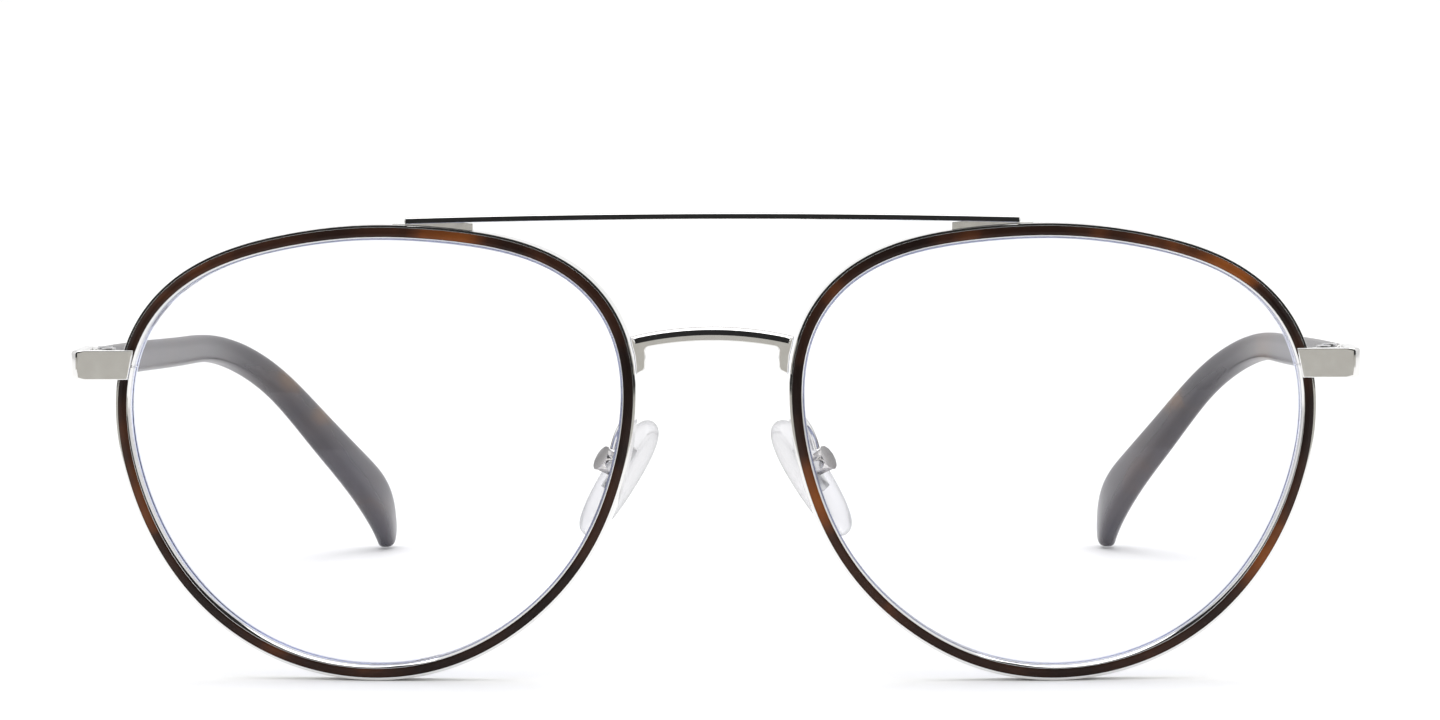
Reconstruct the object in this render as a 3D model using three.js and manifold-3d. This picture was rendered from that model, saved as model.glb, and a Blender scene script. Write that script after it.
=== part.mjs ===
// Full-rim double-bridge spectacles, standing on the rims and on the temple tips.
// Millimetres, +Z up. The front faces -Y and the temples run back along +Y.
// +X is the wearer's left, so a node named _left is on the +X side.
import * as THREE from "three";
import { LoftGeometry } from "three/addons/geometries/LoftGeometry.js";
import { mergeVertices } from "three/addons/utils/BufferGeometryUtils.js";
import Module from "manifold-3d";

const wasm = await Module();
wasm.setup();

// ---- Rims and lenses ----
// Outer radius of the acetate inlay about the lens centre, at equal angles, from the temple side over the top.
const RIM_TRACE = [27.9, 29.6, 28.25, 25.45, 24.6, 26.0, 29.35, 30.05,
  27.7, 26.1, 25.1, 24.7, 24.6, 24.85, 25.4, 26.25];
const LENS_CENTRE = { x: 37.15, z: 24.87 };
const BASE_CURVE_RADIUS = 115;
const WRAP_DEGREES = 3.9;
const RIM_STATIONS = 48;
const LIP = 0.25; // metal lip outside the inlay
const INNER_WALL = -1.4; // the metal's inner wall, inside the inlay
const RIM_DEPTH = 2.8;
const RECESS_DEPTH = 0.85; // channel that the inlay lies in
const GROOVE = { depth: 1.75, halfWidth: 0.45, reach: 0.5 };
const GAP = 0.06; // between parts that lie in each other, in one frame
const LENS_THICKNESS = 1.6;
const LENS_FRONT = 0.95; // depth of the lens front behind the rim's front

// ---- Bridge and brow bar ----
const BRIDGE = { halfSpan: 8.85, top: 38.65, bottom: 37.1, radius: 38, front: 0.9, depth: 1.6 };
const BRIDGE_LEG = { innerX: 7.3, footX: 8.0, toe: 33.45, heel: 34.3, fillet: 0.8 };
const BROW_BAR = { halfSpan: 33.3, middle: 50.6, rise: 0.45, height: 0.66, front: 1.9, depth: 2.2 };
const BROW_FOOT = { fromX: 25.9, toX: 33.4 };

// ---- End pieces, closing blocks and hinges ----
const STRAP = { height: 3.2, z: 34.4, front: 4.3, outerX: 70.15, thickness: 1.5, back: 10.5 };
const STRAP_NOSE = { x: 63.6, thickness: 0.75, lean: 0.2 };
const CLOSING_BLOCK = { x: 28.55, y: 4.3, width: 2.0, depth: 2.2, height: 1.2, slit: 0.4 };
const CLOSING_SCREW = { radius: 0.5, headRadius: 0.8, headHeight: 0.25 };
const HINGE = { x: 67.3, y: 11.2, barrelRadius: 1.1, boreRadius: 0.5, pinRadius: 0.42 };
const HINGE_LEVELS = { bottom: 32.85, barrelHeight: 0.84, gap: 0.12 };
const HINGE_SCREW_HEAD = { radius: 0.85, height: 0.35 };
const LEAF = { x: 68.18, thickness: 0.56, clear: 1.25, frontLength: 2.2, templeLength: 5.0 };

// ---- Temples ----
const CAP = { from: 10.95, to: 18.5, x: 69.3, thickness: 1.5, height: 3.3 };
// Stations along a temple: its top and bottom edges in side view, its x there and its thickness.
const TEMPLE = [
  { top: [18.8, 35.45], bottom: [18.8, 32.0], x: 68.95, thickness: 2.2 },
  { top: [45, 34.3], bottom: [45, 30.75], x: 68.1, thickness: 2.3 },
  { top: [75, 32.8], bottom: [74.8, 29.35], x: 66.9, thickness: 2.5 },
  { top: [93, 31.4], bottom: [91.6, 28.15], x: 65.2, thickness: 2.7 },
  { top: [102.6, 29.2], bottom: [100.2, 26.1], x: 62.9, thickness: 2.8 },
  { top: [111.2, 25.3], bottom: [108.4, 22.1], x: 59.6, thickness: 2.9 },
  { top: [119.9, 19.2], bottom: [116.3, 15.3], x: 55.4, thickness: 3.1 },
  { top: [128.9, 13.1], bottom: [124.3, 8.3], x: 51.3, thickness: 3.3 },
  { top: [135.8, 7.8], bottom: [131.4, 2.5], x: 48.9, thickness: 3.2 },
  { top: [138.6, 3.6], bottom: [134.5, 0.35], x: 48.5, thickness: 2.6 },
];
const TEMPLE_STEPS = 22;
const TEMPLE_SIDES = 12;
const CORE = { thickness: 0.7, height: 1.5, from: 19.0, to: 0.86, clearance: 0.2 };

// ---- Nose pads ----
const PAD = { length: 14.6, width: 7.6, thickness: 2.0, x: 10.5, y: 9.8, z: 21.4 };
const PAD_TILT = { frontal: 32, splay: 22 }; // degrees
const PAD_CORE = { length: 5.6, width: 2.3, thickness: 0.6, clearance: 0.15 };
const PAD_TAB = { length: 1.5, thickness: 0.8, reach: 1.85 };
const PAD_BOX = { radius: 1.45, depth: 1.7, slot: 1.2, bore: 0.36, below: 0.5 };
const PAD_SCREW = { radius: 0.28, headRadius: 0.6, headHeight: 0.35 };
const PAD_OFFSET = 1.0; // the box sits this far above the pad's middle, along the pad
const PAD_ARM = { radius: 0.45, rootAngle: 172.5, rootOffset: -0.6 };

// ---- Finishes ----
const polished = (colour) => new THREE.MeshStandardMaterial({ color: colour, roughness: 0.12, metalness: 1 });
const glossy = (colour) => new THREE.MeshStandardMaterial({ color: colour, roughness: 0.2, metalness: 0 });
const SILVER = 0xc6c2ba;
const TORTOISE = 0x3a2318;
const STEEL = 0x9a9a9c;
const CLEAR = 0xe9eef2;

const radians = THREE.MathUtils.degToRad;

// ---- Small solid helpers ----
function toSolid(geometry) {
  const bare = geometry.index ? geometry.toNonIndexed() : geometry.clone();
  bare.deleteAttribute("normal");
  bare.deleteAttribute("uv");
  const merged = mergeVertices(bare, 1e-4);
  return new wasm.Manifold(new wasm.Mesh({
    numProp: 3,
    vertProperties: merged.attributes.position.array,
    triVerts: new Uint32Array(merged.index.array),
  }));
}

function toGeometry(solid) {
  const mesh = solid.getMesh();
  const geometry = new THREE.BufferGeometry();
  geometry.setAttribute("position", new THREE.BufferAttribute(mesh.vertProperties, 3));
  geometry.setIndex(new THREE.BufferAttribute(mesh.triVerts, 1));
  return geometry;
}

const join = (first, ...rest) => toGeometry(rest.reduce((all, g) => all.add(toSolid(g)), toSolid(first)));
const cut = (first, ...rest) => toGeometry(rest.reduce((all, g) => all.subtract(toSolid(g)), toSolid(first)));

function box(sizeX, sizeY, sizeZ, x, y, z) {
  return new THREE.BoxGeometry(sizeX, sizeY, sizeZ).translate(x, y, z);
}

// An upright cylinder between two heights.
function post(radius, x, y, low, high, sides = 16) {
  const height = high - low;
  return new THREE.CylinderGeometry(radius, radius, height, sides)
    .rotateX(Math.PI / 2)
    .translate(x, y, low + height / 2);
}

// A flat outline in X and Z, extruded back from y = front, with eased front and back edges.
function plate(shape, front, depth, ease) {
  return new THREE.ExtrudeGeometry(shape, {
    depth: depth - 2 * ease,
    bevelEnabled: true,
    bevelThickness: ease,
    bevelSize: ease,
    bevelOffset: -ease,
    bevelSegments: 2,
    curveSegments: 12,
  }).rotateX(Math.PI / 2).translate(0, front + depth - ease, 0);
}

// A rounded-rectangle section as [across, up] pairs, anticlockwise.
function roundedSection(width, height, round) {
  const w = width / 2;
  const h = height / 2;
  return [
    [w, -h + round], [w, h - round], [w - round, h], [-w + round, h],
    [-w, h - round], [-w, -h + round], [-w + round, -h], [w - round, -h],
  ];
}

// An oval section as [across, up] pairs, anticlockwise; power 2 is an ellipse and more is squarer.
function ovalSection(width, height, sides, power) {
  const bulge = (v) => Math.sign(v) * Math.abs(v) ** (2 / power);
  return Array.from({ length: sides }, (_, i) => {
    const angle = ((i + 0.5) / sides) * 2 * Math.PI;
    return [(bulge(Math.cos(angle)) * width) / 2, (bulge(Math.sin(angle)) * height) / 2];
  });
}

// ---- The lens frame: x towards the temple, y back, z up, from the lens centre ----
function traceRadius(angle) {
  const n = RIM_TRACE.length;
  return RIM_TRACE.reduce((sum, radius, i) => {
    const half = (angle - (2 * Math.PI * i) / n) / 2;
    const near = Math.abs(Math.sin(half)) < 1e-9;
    return sum + radius * (near ? 1 : Math.sin(n * half) / (n * Math.tan(half)));
  }, 0);
}

function tracePoint(angle) {
  const radius = traceRadius(angle);
  return new THREE.Vector2(radius * Math.cos(angle), radius * Math.sin(angle));
}

// How far the base curve has fallen back at a point of the lens.
const sag = (x, z) => BASE_CURVE_RADIUS - Math.sqrt(BASE_CURVE_RADIUS ** 2 - x * x - z * z);

// A point beside the rim's outline: offset outwards, and behind the front surface.
function rimPoint(angle, offset, depth, scale = 1) {
  const step = 1e-3;
  const along = tracePoint(angle + step).sub(tracePoint(angle - step)).normalize();
  const x = (tracePoint(angle).x + along.y * offset) * scale;
  const z = (tracePoint(angle).y - along.x * offset) * scale;
  return new THREE.Vector3(x, sag(x, z) + depth, z);
}

function rimAngles(direction) {
  return Array.from({ length: RIM_STATIONS }, (_, i) => (direction * 2 * Math.PI * i) / RIM_STATIONS);
}

// A closed section of [offset, depth] pairs carried round the whole rim.
function rimSweep(section) {
  const rings = rimAngles(1).map((angle) => section.map(([offset, depth]) => rimPoint(angle, offset, depth)));
  return new LoftGeometry([...rings, rings[0]]);
}

// The place of a lens-frame point in the whole frame, for the +X side.
function fromLens(point) {
  return point.clone()
    .applyAxisAngle(new THREE.Vector3(0, 0, 1), radians(WRAP_DEGREES))
    .add(new THREE.Vector3(LENS_CENTRE.x, 0, LENS_CENTRE.z));
}

// ---- Rim parts, in the lens frame ----
function eyewireGeometry() {
  const ring = rimSweep([
    [LIP, 0.1],
    [LIP + 0.05, RIM_DEPTH],
    [INNER_WALL, RIM_DEPTH],
    [INNER_WALL, GROOVE.depth + GROOVE.halfWidth],
    [INNER_WALL + GROOVE.reach, GROOVE.depth],
    [INNER_WALL, GROOVE.depth - GROOVE.halfWidth],
    [INNER_WALL, 0.1],
    [INNER_WALL + 0.18, 0.1],
    [INNER_WALL + 0.18, RECESS_DEPTH],
    [0.03, RECESS_DEPTH],
    [0.03, 0.1],
  ]);
  const slitZ = STRAP.z - LENS_CENTRE.z;
  return cut(ring, box(8, 8, CLOSING_BLOCK.slit, 29, 5, slitZ));
}

function inlayGeometry() {
  const outer = 0.03 - GAP;
  const inner = INNER_WALL + 0.18 + GAP;
  const middle = (outer + inner) / 2;
  const floor = RECESS_DEPTH - GAP;
  return rimSweep([
    [outer, 0.12],
    [outer, floor],
    [inner, floor],
    [inner, 0.12],
    [middle - 0.35, -0.12],
    [middle, -0.2],
    [middle + 0.35, -0.12],
  ]);
}

function lensGeometry() {
  const edge = INNER_WALL - GAP;
  const apex = edge + GROOVE.reach - 0.06;
  const shoulder = GROOVE.halfWidth - 0.05;
  const back = LENS_FRONT + LENS_THICKNESS;
  const rows = [
    [0.15, edge, LENS_FRONT], [0.6, edge, LENS_FRONT], [1, edge, LENS_FRONT],
    [1, edge, GROOVE.depth - shoulder], [1, apex, GROOVE.depth], [1, edge, GROOVE.depth + shoulder],
    [1, edge, back], [0.6, edge, back], [0.15, edge, back], [0.1, edge, back + 0.05],
  ];
  const rings = rows.map(([scale, offset, depth]) =>
    rimAngles(-1).map((angle) => rimPoint(angle, offset, depth, scale)));
  return new LoftGeometry(rings, { capStart: true, capEnd: true });
}

function closingBlockGeometry(up) {
  const { x, y, width, depth, height, slit } = CLOSING_BLOCK;
  const low = STRAP.z - LENS_CENTRE.z + (up ? slit / 2 : -slit / 2 - height);
  const lean = 0.35; // the rim runs outwards below the slit
  const shift = up ? 0 : lean / 2;
  const block = box(width, depth, height, x + shift + width / 2, y + depth / 2, low + height / 2);
  const bore = post(CLOSING_SCREW.radius + 0.1, x + width / 2 + 0.1, y + depth / 2, low - 1, low + height + 1);
  return cut(block, bore);
}

function closingScrewGeometry() {
  const { x, y, width, depth, height, slit } = CLOSING_BLOCK;
  const middle = STRAP.z - LENS_CENTRE.z;
  const reach = slit / 2 + height;
  const centreX = x + width / 2 + 0.1;
  const centreY = y + depth / 2;
  const shank = post(CLOSING_SCREW.radius, centreX, centreY, middle - reach, middle + reach + 0.1);
  const head = post(
    CLOSING_SCREW.headRadius, centreX, centreY,
    middle + reach + GAP, middle + reach + GAP + CLOSING_SCREW.headHeight,
  );
  return join(shank, head);
}

// The soldered foot between the brow bar and the top of the rim.
function browFootGeometry() {
  const wall = LIP + 0.05 + 2 * GAP;
  const steps = 5;
  const sections = [];
  for (let i = 0; i <= steps; i += 1) {
    const angle = radians(115.5 - (115.5 - 104) * (i / steps));
    const low = [0.7, RIM_DEPTH - 0.5].map((depth) => rimPoint(angle, wall, depth));
    const x = (low[0].x + low[1].x) / 2;
    const top = browBarBottom(fromLens(new THREE.Vector3(x, 0, 0)).x) - LENS_CENTRE.z - GAP;
    const high = low.map((p) => new THREE.Vector3(p.x, p.y, Math.max(top, p.z + 0.05)));
    sections.push([low[0], low[1], high[1], high[0]]);
  }
  return new LoftGeometry(sections, { capStart: true, capEnd: true });
}

// ---- Bridges, in the whole frame ----
function bridgeGeometry() {
  const { halfSpan, top, bottom, radius, front, depth } = BRIDGE;
  const { innerX, footX, toe, heel, fillet } = BRIDGE_LEG;
  const drop = (x) => radius - Math.sqrt(radius * radius - x * x);
  const shape = new THREE.Shape();
  const steps = 8;
  for (let i = 0; i <= steps; i += 1) {
    const x = halfSpan * (1 - (2 * i) / steps);
    if (i === 0) shape.moveTo(x, top - drop(x));
    else shape.lineTo(x, top - drop(x));
  }
  shape.lineTo(-footX, toe);
  shape.lineTo(-innerX, heel);
  const armpitX = innerX - fillet;
  shape.lineTo(-innerX, bottom - drop(innerX) - fillet);
  shape.quadraticCurveTo(-innerX, bottom - drop(innerX), -armpitX, bottom - drop(armpitX));
  for (let i = 1; i < steps; i += 1) {
    const x = armpitX * (1 - (2 * i) / steps);
    shape.lineTo(-x, bottom - drop(x));
  }
  shape.lineTo(armpitX, bottom - drop(armpitX));
  shape.quadraticCurveTo(innerX, bottom - drop(innerX), innerX, bottom - drop(innerX) - fillet);
  shape.lineTo(innerX, heel);
  shape.lineTo(footX, toe);
  return plate(shape, front, depth, 0.3);
}

const browBarMiddle = (x) => BROW_BAR.middle - BROW_BAR.rise * (x / BROW_BAR.halfSpan) ** 2;
const browBarBottom = (x) => browBarMiddle(x) - BROW_BAR.height / 2;

function browBarGeometry() {
  const { halfSpan, height, front, depth } = BROW_BAR;
  const steps = 12;
  const section = roundedSection(depth, height, 0.2);
  const sections = [];
  for (let i = 0; i <= steps; i += 1) {
    const share = 1 - (2 * i) / steps;
    sections.push(section.map(([across, up]) => {
      const lean = Math.sign(share) * (Math.abs(share) === 1 ? 0.7 * up : 0);
      const x = share * halfSpan - lean;
      return new THREE.Vector3(x, front + depth / 2 - across, browBarMiddle(share * halfSpan) + up);
    }));
  }
  return new LoftGeometry(sections, { capStart: true, capEnd: true });
}

// ---- End piece and hinge, in the whole frame, +X side ----
function endPieceGeometry() {
  const { height, z, front, outerX, thickness, back } = STRAP;
  const { x: noseX, thickness: noseThickness, lean } = STRAP_NOSE;
  const round = 0.9;
  // Each station is the outer and the inner edge in plan, and how far the top leans outwards.
  const stations = [
    [[noseX, front], [noseX, front + noseThickness], lean],
    [[noseX + 2.6, front], [noseX + 2.6, front + noseThickness], 0],
    [[noseX + 3.2, front], [noseX + 3.2, front + thickness], 0],
  ];
  for (let i = 0; i <= 4; i += 1) {
    const a = (i / 4) * (Math.PI / 2);
    const outer = [outerX - round * (1 - Math.sin(a)), front + round * (1 - Math.cos(a))];
    const inner = [
      outerX - thickness - 0.2 * (1 - Math.sin(a)),
      front + thickness + 0.2 * (1 - Math.cos(a)),
    ];
    stations.push([outer, inner, 0]);
  }
  stations.push([[outerX, back], [outerX - thickness, back], 0]);
  const sections = stations.map(([outer, inner, slant]) => {
    const from = new THREE.Vector2(...outer);
    const to = new THREE.Vector2(...inner);
    const middle = from.clone().lerp(to, 0.5);
    const wide = from.distanceTo(to);
    return roundedSection(wide, height, 0.25).map(([across, up]) => {
      const plan = middle.clone().addScaledVector(to.clone().sub(from), across / wide);
      return new THREE.Vector3(plan.x - slant * up, plan.y, z + up);
    });
  });
  return new LoftGeometry(sections, { capStart: true, capEnd: true });
}

function barrelRange(level) {
  const low = HINGE_LEVELS.bottom + level * (HINGE_LEVELS.barrelHeight + HINGE_LEVELS.gap);
  return [low, low + HINGE_LEVELS.barrelHeight];
}

// A hinge half: a leaf on the inner side of the strap or temple, with its barrels round the axis.
// Towards is -1 for the half on the end piece and 1 for the half on the temple.
function hingeHalfGeometry(levels, towards, length) {
  const { x, y, barrelRadius, boreRadius } = HINGE;
  const bottom = barrelRange(0)[0];
  const top = barrelRange(2)[1];
  const leafY = y + towards * (LEAF.clear + length / 2);
  const leaf = box(LEAF.thickness, length, top - bottom, LEAF.x, leafY, (top + bottom) / 2);
  const outer = LEAF.x + LEAF.thickness / 2;
  const pieces = levels.flatMap((level) => {
    const [low, high] = barrelRange(level);
    const reach = LEAF.clear + 0.2;
    const neck = box(outer - x, reach, high - low, (outer + x) / 2, y + (towards * reach) / 2, (low + high) / 2);
    return [post(barrelRadius, x, y, low, high, 20), neck];
  });
  const whole = join(leaf, ...pieces);
  return cut(whole, post(boreRadius, x, y, bottom - 1, top + 1));
}

function hingeScrewGeometry() {
  const { x, y, pinRadius } = HINGE;
  const bottom = barrelRange(0)[0];
  const top = barrelRange(2)[1];
  const headLow = top + GAP;
  const headHigh = headLow + HINGE_SCREW_HEAD.height;
  const pin = post(pinRadius, x, y, bottom, headLow + 0.1);
  const head = post(HINGE_SCREW_HEAD.radius, x, y, headLow, headHigh, 20);
  const slot = box(2.4, 0.25, 0.4, x, y, headHigh);
  return cut(join(pin, head), slot);
}

// ---- Temple, in the whole frame, +X side ----
function templeFrame(u) {
  const curve = (pick) => new THREE.CatmullRomCurve3(TEMPLE.map(pick)).getPoint(u);
  const centreAt = (row) => new THREE.Vector3(row.x, (row.top[0] + row.bottom[0]) / 2, (row.top[1] + row.bottom[1]) / 2);
  const centres = new THREE.CatmullRomCurve3(TEMPLE.map(centreAt));
  const top = curve((row) => new THREE.Vector3(row.x, ...row.top));
  const bottom = curve((row) => new THREE.Vector3(row.x, ...row.bottom));
  const thickness = curve((row) => new THREE.Vector3(row.thickness, 0, 0)).x;
  const up = top.clone().sub(bottom);
  const height = up.length();
  up.normalize();
  const along = centres.getTangent(u);
  const across = up.clone().cross(along).normalize();
  return { centre: top.add(bottom).multiplyScalar(0.5), up, across, height, thickness };
}

// A section of the temple as points, in its own plane.
function templeRing(u, section) {
  const { centre, up, across } = templeFrame(u);
  return section.map(([a, b]) => centre.clone().addScaledVector(across, a).addScaledVector(up, b));
}

function templeGeometry() {
  const rings = [];
  for (let i = 0; i <= TEMPLE_STEPS; i += 1) {
    const u = i / TEMPLE_STEPS;
    const { height, thickness } = templeFrame(u);
    rings.push(templeRing(u, ovalSection(thickness, height, TEMPLE_SIDES, 3)));
  }
  const last = templeFrame(1);
  const tip = ovalSection(last.thickness * 0.5, last.height * 0.55, TEMPLE_SIDES, 2.5);
  const below = last.up.clone().multiplyScalar(-0.8).addScaledVector(new THREE.Vector3(0, 1, -0.35), 0.7);
  rings.push(templeRing(1, tip).map((p) => p.add(below)));
  const solid = new LoftGeometry(rings, { capStart: true, capEnd: true });
  return cut(solid, coreGeometry(CORE.clearance, -0.02));
}

// The metal core; with extra > 0 it is the channel that the core lies in, open at the temple's front.
function coreGeometry(extra, start) {
  const steps = 12;
  const rings = [];
  for (let i = 0; i <= steps; i += 1) {
    const u = Math.max(0, start) + (CORE.to + extra / 50 - Math.max(0, start)) * (i / steps);
    const section = roundedSection(CORE.thickness + 2 * extra, CORE.height + 2 * extra, 0.15 + extra / 2);
    const ring = templeRing(u, section);
    if (i === 0 && start < 0) ring.forEach((p) => { p.y -= 1; });
    rings.push(ring);
  }
  return new LoftGeometry(rings, { capStart: true, capEnd: true });
}

function templeCapGeometry() {
  const { from, to, x, thickness, height } = CAP;
  const slope = (TEMPLE[0].top[1] + TEMPLE[0].bottom[1]) / 2 - STRAP.z;
  const sections = [0, 0.08, 0.92, 1].map((share) => {
    const inset = share === 0 || share === 1 ? 0.15 : 0;
    return roundedSection(thickness - inset, height - inset, 0.25).map(([across, up]) =>
      new THREE.Vector3(x - across, from + (to - from) * share, STRAP.z + slope * share + up));
  });
  return new LoftGeometry(sections, { capStart: true, capEnd: true });
}

// ---- Nose pad, in its own frame: x across the pad, y up along it, z out of its bearing face ----
function padGeometry() {
  const { length, width, thickness } = PAD;
  const layers = [[0, 0.84], [0.25, 0.96], [0.5, 1], [0.8, 0.9], [1, 0.62]];
  const sections = layers.map(([share, scale]) =>
    ovalSection(width * scale, length * (0.5 + scale / 2), 22, 2.2).map(([across, up]) =>
      new THREE.Vector3(across * (1 + (0.12 * up) / length), up, (share - 0.5) * thickness)));
  const body = new LoftGeometry(sections, { capStart: true, capEnd: true });
  const room = 2 * PAD_CORE.clearance;
  const back = -thickness / 2;
  const pocketDepth = PAD_CORE.thickness + 2 * PAD_CORE.clearance;
  const pocket = box(
    PAD_CORE.width + room, PAD_CORE.length + room, pocketDepth * 2,
    0, PAD_OFFSET, back,
  );
  return cut(body, pocket);
}

function padCoreGeometry() {
  const back = -PAD.thickness / 2;
  const plateZ = back + PAD_CORE.thickness / 2;
  const base = box(PAD_CORE.width, PAD_CORE.length, PAD_CORE.thickness, 0, PAD_OFFSET, plateZ);
  const tab = box(PAD_TAB.thickness, PAD_TAB.length, PAD_TAB.reach + 0.2, 0, PAD_OFFSET, back - PAD_TAB.reach / 2 + 0.1);
  return cut(join(base, tab), padScrewPost(PAD_BOX.bore, 3));
}

const padScrewZ = () => -PAD.thickness / 2 - PAD_BOX.below - PAD_BOX.depth / 2;

// A cylinder along the pad screw's axis, across the pad.
function padScrewPost(radius, halfLength, shift = 0) {
  return new THREE.CylinderGeometry(radius, radius, 2 * halfLength, 12)
    .rotateZ(Math.PI / 2)
    .translate(shift, PAD_OFFSET, padScrewZ());
}

function padBoxGeometry() {
  const body = new THREE.CylinderGeometry(PAD_BOX.radius, PAD_BOX.radius * 0.9, PAD_BOX.depth, 12)
    .rotateX(-Math.PI / 2)
    .translate(0, PAD_OFFSET, padScrewZ());
  const slotDepth = PAD_TAB.reach - PAD_BOX.below + 0.25;
  const mouth = -PAD.thickness / 2 - PAD_BOX.below;
  const slot = box(PAD_BOX.slot, 4, slotDepth, 0, PAD_OFFSET, mouth - slotDepth / 2 + 0.05);
  return cut(body, slot, padScrewPost(PAD_BOX.bore, 3));
}

function padScrewGeometry() {
  const reach = PAD_BOX.radius - 0.05;
  const head = PAD_SCREW.headHeight / 2;
  return join(
    padScrewPost(PAD_SCREW.radius, reach + 0.1),
    padScrewPost(PAD_SCREW.headRadius, head, reach + head + 0.1),
  );
}

// The pad's frame placed in the whole frame, +X side.
function padPlace() {
  const frontal = radians(PAD_TILT.frontal);
  const splay = radians(PAD_TILT.splay);
  const up = new THREE.Vector3(-Math.sin(frontal), 0, Math.cos(frontal));
  const out = new THREE.Vector3(
    -Math.cos(frontal) * Math.cos(splay), Math.sin(splay), -Math.sin(frontal) * Math.cos(splay),
  );
  const across = up.clone().cross(out);
  return new THREE.Matrix4().makeBasis(across, up, out).setPosition(PAD.x, PAD.y, PAD.z);
}

// A wire from the back of the rim, running back and then down to the top of the pad's box.
function padArmGeometry() {
  const place = padPlace();
  const upwards = new THREE.Vector3(0, 1, 0).transformDirection(place);
  const boxTop = new THREE.Vector3(0, PAD_OFFSET + PAD_BOX.radius + 0.05, padScrewZ() - 0.1).applyMatrix4(place);
  const root = fromLens(rimPoint(radians(PAD_ARM.rootAngle), PAD_ARM.rootOffset, RIM_DEPTH + 0.1));
  const path = new THREE.CatmullRomCurve3([
    root,
    root.clone().add(new THREE.Vector3(0.1, 1.4, 0)),
    boxTop.clone().addScaledVector(upwards, 1.4).add(new THREE.Vector3(0.3, -0.2, 0.3)),
    boxTop,
  ]);
  const round = new THREE.Shape();
  round.absarc(0, 0, PAD_ARM.radius, 0, 2 * Math.PI);
  return new THREE.ExtrudeGeometry(round, { steps: 12, curveSegments: 5, extrudePath: path });
}

// ---- Assembly ----
const group = new THREE.Group();

function addPart(parent, name, geometry, material) {
  const mesh = new THREE.Mesh(geometry, material);
  mesh.name = name;
  parent.add(mesh);
  return mesh;
}

function addSide(side, suffix) {
  const half = new THREE.Group();
  half.scale.x = side;
  group.add(half);
  const lensFrame = new THREE.Group();
  lensFrame.position.set(LENS_CENTRE.x, 0, LENS_CENTRE.z);
  lensFrame.rotation.z = radians(WRAP_DEGREES);
  half.add(lensFrame);
  const padFrame = new THREE.Group();
  padFrame.applyMatrix4(padPlace());
  half.add(padFrame);

  addPart(lensFrame, `eyewire_${suffix}`, eyewireGeometry(), polished(SILVER));
  addPart(lensFrame, `rim_inlay_${suffix}`, inlayGeometry(), glossy(TORTOISE));
  addPart(lensFrame, `lens_${suffix}`, lensGeometry(), glossy(CLEAR));
  addPart(lensFrame, `brow_foot_${suffix}`, browFootGeometry(), polished(SILVER));
  addPart(lensFrame, `closing_block_upper_${suffix}`, closingBlockGeometry(true), polished(SILVER));
  addPart(lensFrame, `closing_block_lower_${suffix}`, closingBlockGeometry(false), polished(SILVER));
  addPart(lensFrame, `closing_screw_${suffix}`, closingScrewGeometry(), polished(STEEL));

  const hingeFront = hingeHalfGeometry([0, 2], -1, LEAF.frontLength);
  const hingeBack = hingeHalfGeometry([1], 1, LEAF.templeLength);
  addPart(half, `end_piece_${suffix}`, endPieceGeometry(), polished(SILVER));
  addPart(half, `front_hinge_${suffix}`, hingeFront, polished(SILVER));
  addPart(half, `hinge_screw_${suffix}`, hingeScrewGeometry(), polished(STEEL));
  addPart(half, `temple_hinge_${suffix}`, hingeBack, polished(SILVER));
  addPart(half, `temple_cap_${suffix}`, templeCapGeometry(), polished(SILVER));
  addPart(half, `temple_core_${suffix}`, coreGeometry(0, 0.002), polished(STEEL));
  addPart(half, `temple_${suffix}`, templeGeometry(), glossy(TORTOISE));
  addPart(half, `pad_arm_${suffix}`, padArmGeometry(), polished(SILVER));

  addPart(padFrame, `pad_box_${suffix}`, padBoxGeometry(), polished(SILVER));
  addPart(padFrame, `pad_screw_${suffix}`, padScrewGeometry(), polished(STEEL));
  addPart(padFrame, `pad_core_${suffix}`, padCoreGeometry(), polished(STEEL));
  addPart(padFrame, `nose_pad_${suffix}`, padGeometry(), glossy(CLEAR));
}

addPart(group, "bridge", bridgeGeometry(), polished(SILVER));
addPart(group, "brow_bar", browBarGeometry(), polished(SILVER));
addSide(1, "left");
addSide(-1, "right");

// The origin is below the middle of the whole frame, on the surface that it stands on.
const extent = new THREE.Box3().setFromObject(group, true);
group.position.set(0, -(extent.min.y + extent.max.y) / 2, -extent.min.z);

export default group;
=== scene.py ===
"""Looks of the full-rim double-bridge spectacles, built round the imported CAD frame.

Shapes are worked out in millimetres. There x = 0 is the middle, z = 0 is close to the ground, and y = 0 is
where the rims' curved front passes the middle of each lens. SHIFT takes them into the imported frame.
"""
import math

import bmesh
import bpy
import numpy as np
from mathutils import Matrix, Vector


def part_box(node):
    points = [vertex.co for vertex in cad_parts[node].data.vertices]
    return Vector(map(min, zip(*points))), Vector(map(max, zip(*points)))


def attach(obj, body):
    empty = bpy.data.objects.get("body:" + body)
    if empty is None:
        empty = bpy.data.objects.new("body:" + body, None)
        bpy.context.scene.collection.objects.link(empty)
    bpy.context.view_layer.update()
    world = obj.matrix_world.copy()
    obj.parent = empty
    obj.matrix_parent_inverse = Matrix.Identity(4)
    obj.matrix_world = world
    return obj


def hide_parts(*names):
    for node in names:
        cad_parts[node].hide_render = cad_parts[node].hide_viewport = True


MM = 0.001

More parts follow.
